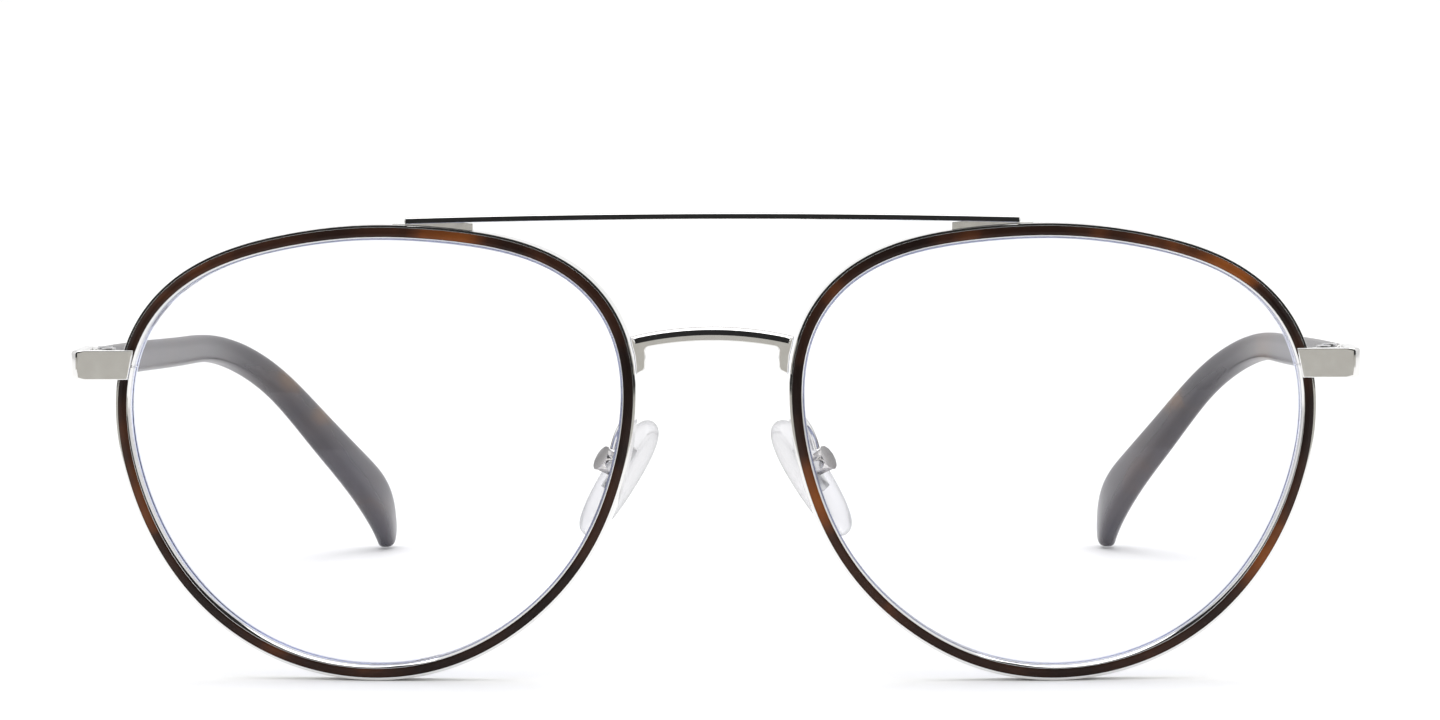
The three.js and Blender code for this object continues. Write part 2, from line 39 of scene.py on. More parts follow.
# ---- The shared outline, in step with the CAD ----
# Outer radius of the acetate inlay about the lens centre, at equal angles, from the temple side over the top.
RIM_TRACE = [27.9, 29.6, 28.25, 25.45, 24.6, 26.0, 29.35, 30.05,
             27.7, 26.1, 25.1, 24.7, 24.6, 24.85, 25.4, 26.25]
LENS_CENTRE = np.array([37.15, 0.0, 24.87])
BASE_CURVE_RADIUS = 115.0
WRAP = math.radians(3.9)
END_PLATE_FRONT = 4.3
END_PLATE_BOTTOM = 32.8
END_PLATE_MIDDLE = 34.4
INNER_WALL = -1.4
LENS_FRONT = 0.95
LENS_BACK = 2.55

# ---- Bridge and brow bar ----
ARCH_RADIUS = 38.0
ARCH_TOP = 38.65
ARCH_UNDER = 37.1
BAR_REACH = 33.3
BAR_MIDDLE = 50.6
BAR_FALL = 0.45
BAR_HALF_HEIGHT = 0.33

# ---- Nose pads ----
PAD_CENTRE = np.array([10.5, 9.8, 21.4])
PAD_TILT = math.radians(32)
PAD_SPLAY = math.radians(22)
PAD_LENGTH = 14.6
PAD_WIDTH = 7.6
PAD_THICKNESS = 2.0
PAD_BOX_TOP = 1.0 + 1.45 + 0.05
PAD_BOX_OUT = -2.35 - 0.1
ARM_ROOT_ANGLE = math.radians(172.5)
ARM_RADIUS = 0.44

# ---- Camera ----
CAMERA_AT = (18.18, -550.0, 75.09)
CAMERA_YAW = math.radians(1.80)
CAMERA_PITCH = math.radians(4.15)
CAMERA_ROLL = math.radians(-0.25)
CAMERA_LENS = 128.0

# ---- Light ----
WORLD_STRENGTH = 1.0
CARD_RADIUS = 0.35
CARD_CENTRE_Z = 0.035
CARD_ROWS = 8
CARD_COLUMNS = 24

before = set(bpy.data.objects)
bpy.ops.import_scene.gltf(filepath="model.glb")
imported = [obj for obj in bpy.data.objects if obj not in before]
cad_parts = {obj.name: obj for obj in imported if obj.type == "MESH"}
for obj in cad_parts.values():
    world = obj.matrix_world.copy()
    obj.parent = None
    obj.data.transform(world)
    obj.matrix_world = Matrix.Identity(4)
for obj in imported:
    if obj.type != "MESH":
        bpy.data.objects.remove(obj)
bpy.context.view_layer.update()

end_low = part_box("end_piece_left")[0]
SHIFT = np.array([0.0, end_low.y / MM - END_PLATE_FRONT, end_low.z / MM - END_PLATE_BOTTOM])


# ---- Mesh helpers ----
def make(name, verts, faces, material, body, nodes, slot, sharp=40):
    """A shaded mesh from points in millimetres, riding on a body and standing for CAD nodes."""
    mesh = bpy.data.meshes.new(name)
    mesh.from_pydata([tuple(p) for p in (np.asarray(verts) + SHIFT) * MM], [], faces)
    work = bmesh.new()
    work.from_mesh(mesh)
    bmesh.ops.remove_doubles(work, verts=work.verts, dist=2e-7)
    bmesh.ops.recalc_face_normals(work, faces=work.faces)
    work.to_mesh(mesh)
    work.free()
    mesh.shade_smooth()
    mesh.set_sharp_from_angle(angle=math.radians(sharp))
    mesh.materials.append(material)
    piece = bpy.data.objects.new(name, mesh)
    bpy.context.scene.collection.objects.link(piece)
    if slot in ("polished_silver", "steel"):
        weighted = piece.modifiers.new("flat_faces_stay_flat", "WEIGHTED_NORMAL")
        weighted.keep_sharp = True
        weighted.weight = 100
    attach(piece, body)
    if nodes:
        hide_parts(*nodes)
    return piece


def pair(stem, shape, material, slot, node=None, body="front", sharp=40):
    """The same piece on both sides. The shape is (points, faces) for the +X side."""
    verts, faces = shape
    for side, suffix in ((1, "left"), (-1, "right")):
        nodes = [f"{node}_{suffix}"] if node else []
        own_body = body if body == "front" else f"{body}_{suffix}"
        mirrored = np.asarray(verts) * [side, 1, 1]
        make(f"{stem}_{suffix}", mirrored, faces, material, own_body, nodes, slot, sharp)


def skin(rings, loop=False, caps=True):
    """Points and faces of a surface through rings of points."""
    rings = np.asarray(rings, float)
    rows, count = rings.shape[:2]
    faces = []
    for i in range(rows if loop else rows - 1):
        a, b = i * count, ((i + 1) % rows) * count
        faces += [(a + j, a + (j + 1) % count, b + (j + 1) % count, b + j) for j in range(count)]
    if caps and not loop:
        faces.append(tuple(range(count)))
        faces.append(tuple((rows - 1) * count + j for j in range(count)))
    return rings.reshape(-1, 3), faces


def rounded(points, radii, steps=4):
    """A 2-D outline with its corners rounded."""
    points = [np.asarray(p, float) for p in points]
    result = []
    for i, corner in enumerate(points):
        before, after = points[i - 1], points[(i + 1) % len(points)]
        radius = radii[i] if hasattr(radii, "__len__") else radii
        if radius <= 0:
            result.append(corner)
            continue
        to_before, to_after = before - corner, after - corner
        reach_before, reach_after = np.linalg.norm(to_before), np.linalg.norm(to_after)
        to_before, to_after = to_before / reach_before, to_after / reach_after
        half = math.acos(np.clip(to_before @ to_after, -1, 1)) / 2
        back = min(radius / math.tan(half), 0.49 * reach_before, 0.49 * reach_after)
        radius = back * math.tan(half)
        bisector = to_before + to_after
        bisector = bisector / np.linalg.norm(bisector)
        centre = corner + bisector * radius / math.sin(half)
        start = corner + to_before * back - centre
        end = corner + to_after * back - centre
        turn = math.atan2(start[0] * end[1] - start[1] * end[0], start @ end)
        for k in range(steps + 1):
            a = turn * k / steps
            turned = [start[0] * math.cos(a) - start[1] * math.sin(a),
                      start[0] * math.sin(a) + start[1] * math.cos(a)]
            result.append(centre + turned)
    return np.array(result)


def unit(rows):
    """Each row as a vector of length one."""
    return rows / np.linalg.norm(rows, axis=1)[:, None]


def oval(width, height, sides, power):
    """Points [across, up] of a squared oval."""
    a = (np.arange(sides) + 0.5) / sides * 2 * math.pi
    c, s = np.cos(a), np.sin(a)
    return np.stack([np.sign(c) * np.abs(c) ** (2 / power) * width / 2,
                     np.sign(s) * np.abs(s) ** (2 / power) * height / 2], axis=1)


def spline(rows, count):
    """A natural cubic spline through rows of numbers, spaced evenly along its chords."""
    rows = np.asarray(rows, float)
    chords = np.linalg.norm(np.diff(rows[:, :3], axis=0), axis=1)
    knots = np.concatenate([[0.0], np.cumsum(chords)])
    n = len(rows)
    system = np.eye(n)
    right = np.zeros_like(rows)
    for i in range(1, n - 1):
        before, after = chords[i - 1], chords[i]
        system[i, i - 1:i + 2] = before, 2 * (before + after), after
        right[i] = 6 * ((rows[i + 1] - rows[i]) / after - (rows[i] - rows[i - 1]) / before)
    bend = np.linalg.solve(system, right)
    result = []
    for at in np.linspace(0, knots[-1], count):
        i = min(max(np.searchsorted(knots, at) - 1, 0), n - 2)
        h = chords[i]
        b = (at - knots[i]) / h
        a = 1 - b
        curve = ((a ** 3 - a) * bend[i] + (b ** 3 - b) * bend[i + 1]) * h * h / 6
        result.append(a * rows[i] + b * rows[i + 1] + curve)
    return np.array(result)


# ---- The lens frame ----
def trace_radius(angles):
    """The smooth closed curve through the radii of RIM_TRACE."""
    n = len(RIM_TRACE)
    total = np.zeros_like(angles)
    for i, radius in enumerate(RIM_TRACE):
        half = (angles - 2 * math.pi * i / n) / 2
        tangent = np.tan(half)
        near = np.abs(np.sin(half)) < 1e-9
        kernel = np.sin(n * half) / np.where(near, 1, n * tangent)
        total += radius * np.where(near, 1, kernel)
    return total


def rim_points(angles, offset, depth, scale=1.0):
    """Points beside the rim's outline, offset outwards and behind the front surface, in the whole frame."""
    angles = np.asarray(angles, float)
    step = 1e-4

    def at(a):
        return np.stack([trace_radius(a) * np.cos(a), trace_radius(a) * np.sin(a)], axis=1)

    along = at(angles + step) - at(angles - step)
    along /= np.linalg.norm(along, axis=1)[:, None]
    flat = (at(angles) + np.stack([along[:, 1], -along[:, 0]], axis=1) * offset) * scale
    x, z = flat[:, 0], flat[:, 1]
    y = BASE_CURVE_RADIUS - np.sqrt(BASE_CURVE_RADIUS ** 2 - x * x - z * z) + depth
    across = x * math.cos(WRAP) - y * math.sin(WRAP)
    back = x * math.sin(WRAP) + y * math.cos(WRAP)
    return np.stack([across, back, z], axis=1) + LENS_CENTRE


def rim_sweep(section, start=0.0, end=2 * math.pi, count=256):
    """A section of [offset, depth] pairs carried round the rim."""
    whole = abs(end - start - 2 * math.pi) < 1e-6
    angles = np.linspace(start, end, count, endpoint=not whole)
    columns = [rim_points(angles, offset, depth) for offset, depth in section]
    return skin(np.stack(columns, axis=1), loop=whole, caps=not whole)


# ---- Materials ----
def new_material(name):
    material = bpy.data.materials.new(name)
    material.use_nodes = True
    tree = material.node_tree
    return material, tree, tree.nodes["Principled BSDF"]


def node(tree, kind, **values):
    made = tree.nodes.new(kind)
    for key, value in values.items():
        if hasattr(made, key):
            setattr(made, key, value)
        else:
            made.inputs[key.replace("_", " ")].default_value = value
    return made


def noise(tree, scale, detail=3.0, stretch=(1, 1, 1)):
    """Noise on the piece's own coordinates, with the scale per metre."""
    coordinates = node(tree, "ShaderNodeTexCoord")
    mapping = node(tree, "ShaderNodeMapping")
    mapping.inputs["Scale"].default_value = stretch
    texture = node(tree, "ShaderNodeTexNoise", Scale=scale, Detail=detail)
    tree.links.new(coordinates.outputs["Object"], mapping.inputs["Vector"])
    tree.links.new(mapping.outputs["Vector"], texture.inputs["Vector"])
    return texture


def ramp(tree, source, stops):
    made = tree.nodes.new("ShaderNodeValToRGB")
    elements = made.color_ramp.elements
    while len(elements) < len(stops):
        elements.new(0.5)
    for element, (position, colour) in zip(elements, stops):
        element.position = position
        element.color = (*colour, 1)
    tree.links.new(source, made.inputs["Fac"])
    return made


def bump(tree, shader, source, strength, distance):
    made = node(tree, "ShaderNodeBump", Strength=strength, Distance=distance)
    tree.links.new(source, made.inputs["Height"])
    tree.links.new(made.outputs["Normal"], shader.inputs["Normal"])


def metal(name, colour, roughness, worn, edge=None):
    """Polished metal with fine variation in its roughness and tint; given edge, its colour is darkened
    towards edge as the surface turns away, painted shade standing in for dark reflections along its outline.
    """
    material, tree, shader = new_material(name)
    shader.inputs["Metallic"].default_value = 1.0
    fine = noise(tree, 900.0, 4.0)
    tint = ramp(tree, fine.outputs["Fac"], [(0.3, [c * 0.97 for c in colour]), (0.7, colour)])
    tree.links.new(tint.outputs["Color"], shader.inputs["Base Color"])
    # Painted shade: the base colour is multiplied down towards edge where the surface turns away from view, a
    # painted dark reflection outline.
    if edge is not None:
        weight = node(tree, "ShaderNodeLayerWeight", Blend=0.5)
        painted_edge_shade = ramp(tree, weight.outputs["Facing"], [(0.25, (1.0, 1.0, 1.0)), (0.7, edge)])
        shaded = node(tree, "ShaderNodeMix", data_type="RGBA", blend_type="MULTIPLY")
        shaded.inputs["Factor"].default_value = 1.0
        tree.links.new(tint.outputs["Color"], shaded.inputs[6])
        tree.links.new(painted_edge_shade.outputs["Color"], shaded.inputs[7])
        tree.links.new(shaded.outputs[2], shader.inputs["Base Color"])
    spread = node(tree, "ShaderNodeMapRange", From_Min=0.3, From_Max=0.7,
                  To_Min=roughness, To_Max=roughness + worn)
    tree.links.new(fine.outputs["Fac"], spread.inputs["Value"])
    tree.links.new(spread.outputs["Result"], shader.inputs["Roughness"])
    bump(tree, shader, noise(tree, 350.0, 2.0).outputs["Fac"], 0.03, 0.0001)
    return material


def tortoise(name, colours, spots, roughness, specular):
    """Dark brown acetate with amber clouds, lighter at the spots (x, z, reach) in millimetres."""
    material, tree, shader = new_material(name)
    clouds = noise(tree, 75.0, 3.0, (1, 0.7, 1))
    clouds.inputs["Distortion"].default_value = 0.8
    grain = noise(tree, 420.0, 4.0, (1, 0.5, 1))
    geometry = node(tree, "ShaderNodeTexCoord")
    amount = None
    for x, z, reach in spots:
        flat = node(tree, "ShaderNodeVectorMath", operation="MULTIPLY")
        flat.inputs[1].default_value = (1, 0, 1)
        tree.links.new(geometry.outputs["Object"], flat.inputs[0])
        away = node(tree, "ShaderNodeVectorMath", operation="DISTANCE")
        away.inputs[1].default_value = (x * MM, 0, (z + SHIFT[2]) * MM)
        tree.links.new(flat.outputs["Vector"], away.inputs[0])
        near = node(tree, "ShaderNodeMapRange", interpolation_type="SMOOTHSTEP",
                    From_Min=reach * MM, From_Max=0.0, To_Min=0.0, To_Max=1.0)
        tree.links.new(away.outputs["Value"], near.inputs["Value"])
        if amount is None:
            amount = near.outputs["Result"]
        else:
            most = node(tree, "ShaderNodeMath", operation="MAXIMUM")
            tree.links.new(amount, most.inputs[0])
            tree.links.new(near.outputs["Result"], most.inputs[1])
            amount = most.outputs["Value"]
    mixed = node(tree, "ShaderNodeMath", operation="MULTIPLY_ADD")
    mixed.inputs[1].default_value = 0.34
    tree.links.new(amount, mixed.inputs[0])
    tree.links.new(clouds.outputs["Fac"], mixed.inputs[2])
    pattern = ramp(tree, mixed.outputs["Value"], list(zip((0.38, 0.60, 0.70, 0.88), colours)))
    speckle = node(tree, "ShaderNodeMix", data_type="RGBA", blend_type="MULTIPLY")
    speckle.inputs["Factor"].default_value = 0.35
    shade = ramp(tree, grain.outputs["Fac"], [(0.35, (0.6, 0.6, 0.6)), (0.65, (1.0, 1.0, 1.0))])
    tree.links.new(pattern.outputs["Color"], speckle.inputs[6])
    tree.links.new(shade.outputs["Color"], speckle.inputs[7])
    tree.links.new(speckle.outputs[2], shader.inputs["Base Color"])
    shader.inputs["Roughness"].default_value = roughness
    shader.inputs["IOR"].default_value = 1.48
    shader.inputs["Specular IOR Level"].default_value = specular
    bump(tree, shader, noise(tree, 260.0, 2.0).outputs["Fac"], 0.04, 0.0002)
    return material


def clear(name, through, edge, shine, roughness, facing, mirror):
    """A clear solid shown as a see-through skin with a reflection that grows towards its edges. Its
    see-through colour turns from through to edge as the surface turns away, painted shade standing in for
    refraction at its rim.
    """
    material, tree, shader = new_material(name)
    output = tree.nodes["Material Output"]
    tree.nodes.remove(shader)
    # Painted shade: the see-through tint darkens to edge as the surface turns away from view.
    weight = node(tree, "ShaderNodeLayerWeight", Blend=facing)
    colours = ramp(tree, weight.outputs["Facing"], [(0.0, through), (1.0, edge)])
    haze = noise(tree, 160.0, 2.0)
    cloud = ramp(tree, haze.outputs["Fac"], [(0.3, (0.985, 0.985, 0.985)), (0.7, (1.0, 1.0, 1.0))])
    tinted = node(tree, "ShaderNodeMix", data_type="RGBA", blend_type="MULTIPLY")
    tinted.inputs["Factor"].default_value = 1.0
    tree.links.new(colours.outputs["Color"], tinted.inputs[6])
    tree.links.new(cloud.outputs["Color"], tinted.inputs[7])
    see = node(tree, "ShaderNodeBsdfTransparent")
    tree.links.new(tinted.outputs[2], see.inputs["Color"])
    gloss = node(tree, "ShaderNodeBsdfGlossy", Roughness=roughness)
    gloss.inputs["Color"].default_value = (*shine, 1)
    fresnel = node(tree, "ShaderNodeFresnel", IOR=1.3)
    mix = node(tree, "ShaderNodeMixShader")
    amount = node(tree, "ShaderNodeMath", operation="MULTIPLY")
    amount.inputs[1].default_value = mirror
    tree.links.new(fresnel.outputs["Fac"], amount.inputs[0])
    tree.links.new(amount.outputs["Value"], mix.inputs["Fac"])
    tree.links.new(see.outputs["BSDF"], mix.inputs[1])
    tree.links.new(gloss.outputs["BSDF"], mix.inputs[2])
    tree.links.new(mix.outputs["Shader"], output.inputs["Surface"])
    return material


SILVER = metal("polished_silver", (0.80, 0.795, 0.785), 0.05, 0.05)
PAD_STEEL = metal("pad_core_steel", (0.88, 0.88, 0.88), 0.42, 0.1)
# Its last colour is painted edge shade that darkens the pad box's outline.
BOX_STEEL = metal("pad_box_silver", (0.78, 0.76, 0.75), 0.10, 0.05, (0.25, 0.24, 0.23))
STEEL = metal("screw_steel", (0.62, 0.62, 0.63), 0.16, 0.1)
RING_COLOURS = [(0.014, 0.008, 0.0065), (0.036, 0.015, 0.009), (0.092, 0.030, 0.011), (0.22, 0.062, 0.011)]
RING_SPOTS = [(-28, 48, 8), (10, 21, 6.5), (56, 44, 7), (61, 13, 8), (-61.5, 26, 11), (-48, 4, 6)]
TEMPLE_COLOURS = [(0.045, 0.040, 0.049), (0.058, 0.047, 0.050), (0.095, 0.058, 0.040), (0.19, 0.105, 0.055)]
TEMPLE_SPOTS = [(-58, 25, 5), (-54, 20, 4), (55, 22, 4)]
INLAY = tortoise("inlay_acetate", RING_COLOURS, RING_SPOTS, 0.22, 0.15)
ACETATE = tortoise("temple_acetate", TEMPLE_COLOURS, TEMPLE_SPOTS, 0.26, 0.5)
# The second colour of each clear material is painted edge shade on the see-through skin, tinted blue for the
# lens.
LENS = clear("coated_lens", (0.985, 0.985, 0.992), (0.80, 0.80, 0.86), (0.75, 0.8, 1.0), 0.0, 0.25, 0.8)
PAD = clear("clear_pad", (0.965, 0.963, 0.972), (0.66, 0.66, 0.67), (1.0, 1.0, 1.0), 0.2, 0.4, 0.45)


# ---- Rims, inlays and lenses ----
def eyewire():
    """The split metal channel, with the inlay's recess in front and the lens groove inside."""
    section = rounded(
        [(0.22, 0.1), (0.25, 0.16), (0.30, 2.8), (INNER_WALL, 2.8), (INNER_WALL, 2.2), (-0.9, 1.75),
         (INNER_WALL, 1.3), (INNER_WALL, 0.46), (-1.09, 0.1), (-1.05, 0.1), (-1.05, 0.85), (-0.05, 0.85),
         (-0.05, 0.1)],
        [0.03, 0.03, 0.25, 0.2, 0.08, 0.04, 0.08, 0.05, 0.02, 0.01, 0.02, 0.02, 0.02], 3)
    blocks_out, half_slit = 29.3, 0.0052
    middle = math.asin((END_PLATE_MIDDLE - LENS_CENTRE[2]) / blocks_out)
    return rim_sweep(section, middle + half_slit, middle - half_slit + 2 * math.pi, 300)


def inlay():
    """The acetate ring, with a slightly crowned front."""
    crown = [(-0.07 - 0.96 * k / 8, 0.13 - 0.12 * math.sin(math.pi * k / 8)) for k in range(9)]
    section = [(-0.07, 0.79)] + crown + [(-1.03, 0.79)]
    return rim_sweep(section)


def lens():
    """A curved disc with a bevelled edge."""
    edge, apex = -1.46, -1.02
    angles = np.linspace(0, 2 * math.pi, 160, endpoint=False)
    shares = [0.02, 0.1, 0.2, 0.3, 0.4, 0.5, 0.6, 0.7, 0.8, 0.88, 0.95]
    bevel = [(edge, LENS_FRONT), (edge, 1.35), (apex, 1.75), (edge, 2.15), (edge, LENS_BACK)]
    rings = [rim_points(angles, edge, LENS_FRONT, s) for s in shares]
    rings += [rim_points(angles, offset, depth) for offset, depth in bevel]
    rings += [rim_points(angles, edge, LENS_BACK, s) for s in reversed(shares)]
    return skin(rings)


pair("rim_metal", eyewire(), SILVER, "polished_silver", "eyewire")
pair("rim_acetate", inlay(), INLAY, "tortoise_acetate", "rim_inlay")
pair("lens_glass", lens(), LENS, "lens", "lens", sharp=30)


# ---- Bridge and brow bar ----
def bridge():
    """A plate of one outline, its upper front edge chamfered and rounded, its other edges eased."""
    half_span, front = 8.85, 0.9

    def arch(x, z):
        return z - (ARCH_RADIUS - math.sqrt(ARCH_RADIUS ** 2 - x * x))

    upper = [(x, arch(x, ARCH_TOP)) for x in np.linspace(0, half_span, 24)]
    end = [(half_span, arch(half_span, ARCH_TOP)), (half_span - 0.12, 36.75), (8.42, 35.6), (8.3, 34.5),
           (8.25, 33.75)]
    toe = [(8.2, 33.55), (7.95, 33.62), (7.35, 33.95), (7.18, 34.3)]
    leg = [(7.18, 35.3), (7.2, 35.55)]
    inner = [(x, arch(x, ARCH_UNDER)) for x in np.linspace(6.3, 0, 16)]
    corner = rounded([leg[-1], (7.2, arch(7.2, ARCH_UNDER)), inner[0]], [0, 0.6, 0], 8)
    outline = upper[:-1] + end + toe + leg[:-1] + list(corner) + inner[1:]
    steps = [1.0] + [np.linalg.norm(np.subtract(p, q)) for p, q in zip(outline[1:], outline)]
    outline = np.array([p for p, step in zip(outline, steps) if step > 0.02])
    whole = np.concatenate([outline, (outline * [-1, 1])[::-1][1:-1]])
    ahead, behind = np.roll(whole, -1, axis=0) - whole, whole - np.roll(whole, 1, axis=0)
    along = unit(unit(ahead) + unit(behind))
    outward = np.stack([-along[:, 1], along[:, 0]], axis=1)
    on_top = (outward[:, 1] > 0.6) & (whole[:, 1] > 37.0)
    top_profile = [(0.86, 0.0), (0.84, 0.004), (0.36, 0.17), (0.27, 0.23), (0.17, 0.33), (0.08, 0.47),
                   (0.02, 0.64), (0.0, 0.8), (0.0, 1.35), (0.06, 1.53), (0.2, 1.6)]
    side_profile = [(0.16, 0.0), (0.14, 0.004), (0.09, 0.03), (0.05, 0.07), (0.02, 0.11), (0.0, 0.16),
                    (0.0, 0.3), (0.0, 0.5), (0.0, 1.4), (0.05, 1.55), (0.15, 1.6)]
    rings = []
    for (inset_top, back_top), (inset_side, back_side) in zip(top_profile, side_profile):
        inset = np.where(on_top, inset_top, inset_side)
        back = np.where(on_top, back_top, back_side)
        at = whole - outward * inset[:, None]
        rings.append(np.stack([at[:, 0], front + back, at[:, 1]], axis=1))
    return skin(rings)


def bar_middle(x):
    """How high the middle of the brow bar is at x."""
    return BAR_MIDDLE - BAR_FALL * (x / BAR_REACH) ** 2


def brow_bar():
    """A strip with its upper front edge chamfered, and rounded ends."""
    front, depth = 1.9, 2.2
    back, half = front + depth, BAR_HALF_HEIGHT
    outline = [(front, -half + 0.04), (front, -0.10), (front + 0.006, -0.08), (front + 0.12, 0.21),
               (front + 0.14, 0.25), (front + 0.28, half), (back - 0.15, half), (back, half - 0.15),
               (back, -half + 0.15), (back - 0.15, -half), (front + 0.04, -half)]
    rings = []
    end = -BAR_REACH
    stations = [(end, 0.35), (end + 0.05, 0.65), (end + 0.15, 0.9), (end + 0.3, 1.0)]
    stations += [(x, 1.0) for x in np.linspace(end + 0.6, BAR_REACH - 0.6, 60)]
    stations += [(-x, scale) for x, scale in reversed(stations[:4])]
    for x, scale in stations:
        z = bar_middle(x)
        middle = front + depth / 2
        rings.append([(x, middle + (y - middle) * (0.8 + 0.2 * scale), z + up * scale) for y, up in outline])
    return skin(rings)


def brow_foot():
    """The soldered foot that fills the wedge between the bar's end and the top of the rim."""
    rings = []
    for angle in np.radians(np.linspace(114.6, 95.2, 28)):
        (x, y, z), = rim_points([angle], 0.27, 0.7)
        bar_bottom = bar_middle(x) - 0.35
        beyond = np.clip((x - 33.0) / 1.9, 0, 1)
        top = max(min(bar_bottom, z + 0.75) * (1 - beyond) + (z + 0.05) * beyond, z + 0.05)
        rings.append([(x, y, z - 0.05), (x, y, top - 0.03), (x, y + 0.04, top),
                      (x, y + 1.5, top), (x, y + 1.6, top - 0.04), (x, y + 1.6, z - 0.05)])
    return skin(rings)


make("bridge_metal", *bridge(), SILVER, "front", ["bridge"], "polished_silver")
make("brow_bar_metal", *brow_bar(), SILVER, "front", ["brow_bar"], "polished_silver")
pair("brow_foot_metal", brow_foot(), SILVER, "polished_silver", "brow_foot")


# ---- End pieces ----
def end_piece():
    """A flat plate that turns back into the strap. A station is two points in plan and a lean."""
    outer_x, thickness, height = 70.15, 1.5, 3.2
    front, back = END_PLATE_FRONT, 10.5
    stations = [((63.6, front + 0.12), (63.6, front + 0.72), 0.2),
                ((63.63, front + 0.03), (63.63, front + 0.75), 0.2),
                ((63.7, front), (63.7, front + 0.75), 0.2), ((64.6, front), (64.6, front + 0.75), 0.1),
                ((65.6, front), (65.6, front + 0.75), 0), ((66.8, front), (66.8, front + thickness), 0),
                ((67.8, front), (67.8, front + thickness), 0), ((68.6, front), (68.6, front + thickness), 0)]
    for k in range(9):
        a = k / 8 * math.pi / 2
        sideways, backwards = 1 - math.sin(a), 1 - math.cos(a)
        outer = (outer_x - 0.9 * sideways, front + 0.9 * backwards)
        inner = (outer_x - thickness - 0.2 * sideways, front + thickness + 0.2 * backwards)
        stations.append((outer, inner, 0))
    stations.append(((outer_x, back - 0.12), (outer_x - thickness, back - 0.12), 0))
    stations.append(((outer_x - 0.12, back), (outer_x - thickness + 0.12, back), 0))
    rings = []
    for outer, inner, lean in stations:
        outer, inner = np.array(outer), np.array(inner)
        wide = np.linalg.norm(inner - outer)
        h = height / 2
        bend = float(np.clip((outer[0] - 68.6) / 1.2, 0, 1))
        ease = min(0.1 + 0.32 * bend, wide * 0.45)
        outline = rounded([(0, -h), (0, h), (wide, h), (wide, -h)], [ease, ease, 0.1, 0.1], 5)
        plan = [outer + (inner - outer) * across / wide for across, _ in outline]
        rings.append([(p[0] - lean * up, p[1], END_PLATE_MIDDLE + up) for p, (_, up) in zip(plan, outline)])
    return skin(rings)


pair("end_piece_metal", end_piece(), SILVER, "polished_silver", "end_piece", sharp=30)

# ---- Temples ----
# A row is top y, top z, bottom y, bottom z, x and thickness.
TEMPLE = [
    (18.8, 35.45, 18.8, 32.0, 68.95, 2.2), (45, 34.3, 45, 30.75, 68.1, 2.3),
    (75, 32.8, 74.8, 29.35, 66.9, 2.5), (93, 31.4, 91.6, 28.15, 65.2, 2.7),
    (102.6, 29.2, 100.2, 26.1, 62.9, 2.8), (111.2, 25.3, 108.4, 22.1, 59.6, 2.9),
    (119.9, 19.2, 116.3, 15.3, 55.4, 3.1), (128.9, 13.1, 124.3, 8.3, 51.3, 3.3),
    (135.8, 7.8, 131.4, 2.5, 48.9, 3.2), (138.6, 3.6, 134.5, 0.35, 48.5, 2.6)]
TEMPLE_SIDES = 32


def temple():
    """A squared oval carried along the rows, eased at the cap and rounded off at the tip."""
    rows = spline(TEMPLE, 140)
    top = np.stack([rows[:, 4], rows[:, 0], rows[:, 1]], axis=1)
    bottom = np.stack([rows[:, 4], rows[:, 2], rows[:, 3]], axis=1)
    centre = (top + bottom) / 2
    along = unit(np.gradient(centre, axis=0))
    height = np.linalg.norm(top - bottom, axis=1)
    up = (top - bottom) / height[:, None]
    across = unit(np.cross(up, along))
    rings = []
    for i, thickness in enumerate(rows[:, 5]):
        ease = min(1.0, 0.86 + i * 0.07)
        section = oval(thickness * ease, height[i] * ease, TEMPLE_SIDES, 3)
        rings.append([centre[i] + across[i] * a + up[i] * b for a, b in section])
    last = oval(rows[-1, 5], height[-1], TEMPLE_SIDES, 3)
    down = np.array([0.0, 0.7, -0.245]) - 0.8 * up[-1]
    for k in range(1, 9):
        t = k / 8
        squeeze = math.sqrt(1 - (0.87 * t) ** 2)
        squeeze_up = 1 - 0.45 * t
        middle = centre[-1] + down * math.sin(t * math.pi / 2)
        rings.append([middle + across[-1] * a * squeeze + up[-1] * b * squeeze_up for a, b in last])
    return skin(rings)


pair("temple_acetate", temple(), ACETATE, "tortoise_acetate", "temple", body="temple", sharp=50)


# ---- Nose pads ----
def pad_axes():
    """The left pad's directions: across it, up along it, and out of its bearing face."""
    up = np.array([-math.sin(PAD_TILT), 0, math.cos(PAD_TILT)])
    out = np.array([-math.cos(PAD_TILT) * math.cos(PAD_SPLAY), math.sin(PAD_SPLAY),
                    -math.sin(PAD_TILT) * math.cos(PAD_SPLAY)])
    return np.cross(up, out), up, out


def in_pad_frame(points):
    across, up, out = pad_axes()
    points = np.asarray(points)
    return PAD_CENTRE + points[..., :1] * across + points[..., 1:2] * up + points[..., 2:] * out


def nose_pad():
    """A flattened drop in layers, each a share of the thickness and a scale of the outline."""
    layers = [(0.0, 0.80), (0.04, 0.86), (0.14, 0.93), (0.3, 0.98), (0.48, 1.0), (0.66, 0.97), (0.8, 0.90),
              (0.91, 0.80), (0.98, 0.68), (1.0, 0.58), (1.0, 0.3), (1.0, 0.05)]
    rings = []
    for share, scale in [(0.0, 0.05), (0.0, 0.4)] + layers:
        section = oval(PAD_WIDTH * scale, PAD_LENGTH * (0.5 + scale / 2 if scale > 0.5 else scale), 56, 2.2)
        depth = (share - 0.5) * PAD_THICKNESS
        rings.append([(a * (1 + 0.12 * b / PAD_LENGTH), b, depth) for a, b in section])
    verts, faces = skin(rings)
    return in_pad_frame(verts), faces


pair("pad_silicone", nose_pad(), PAD, "clear_pad", "nose_pad", body="nose_pad", sharp=60)


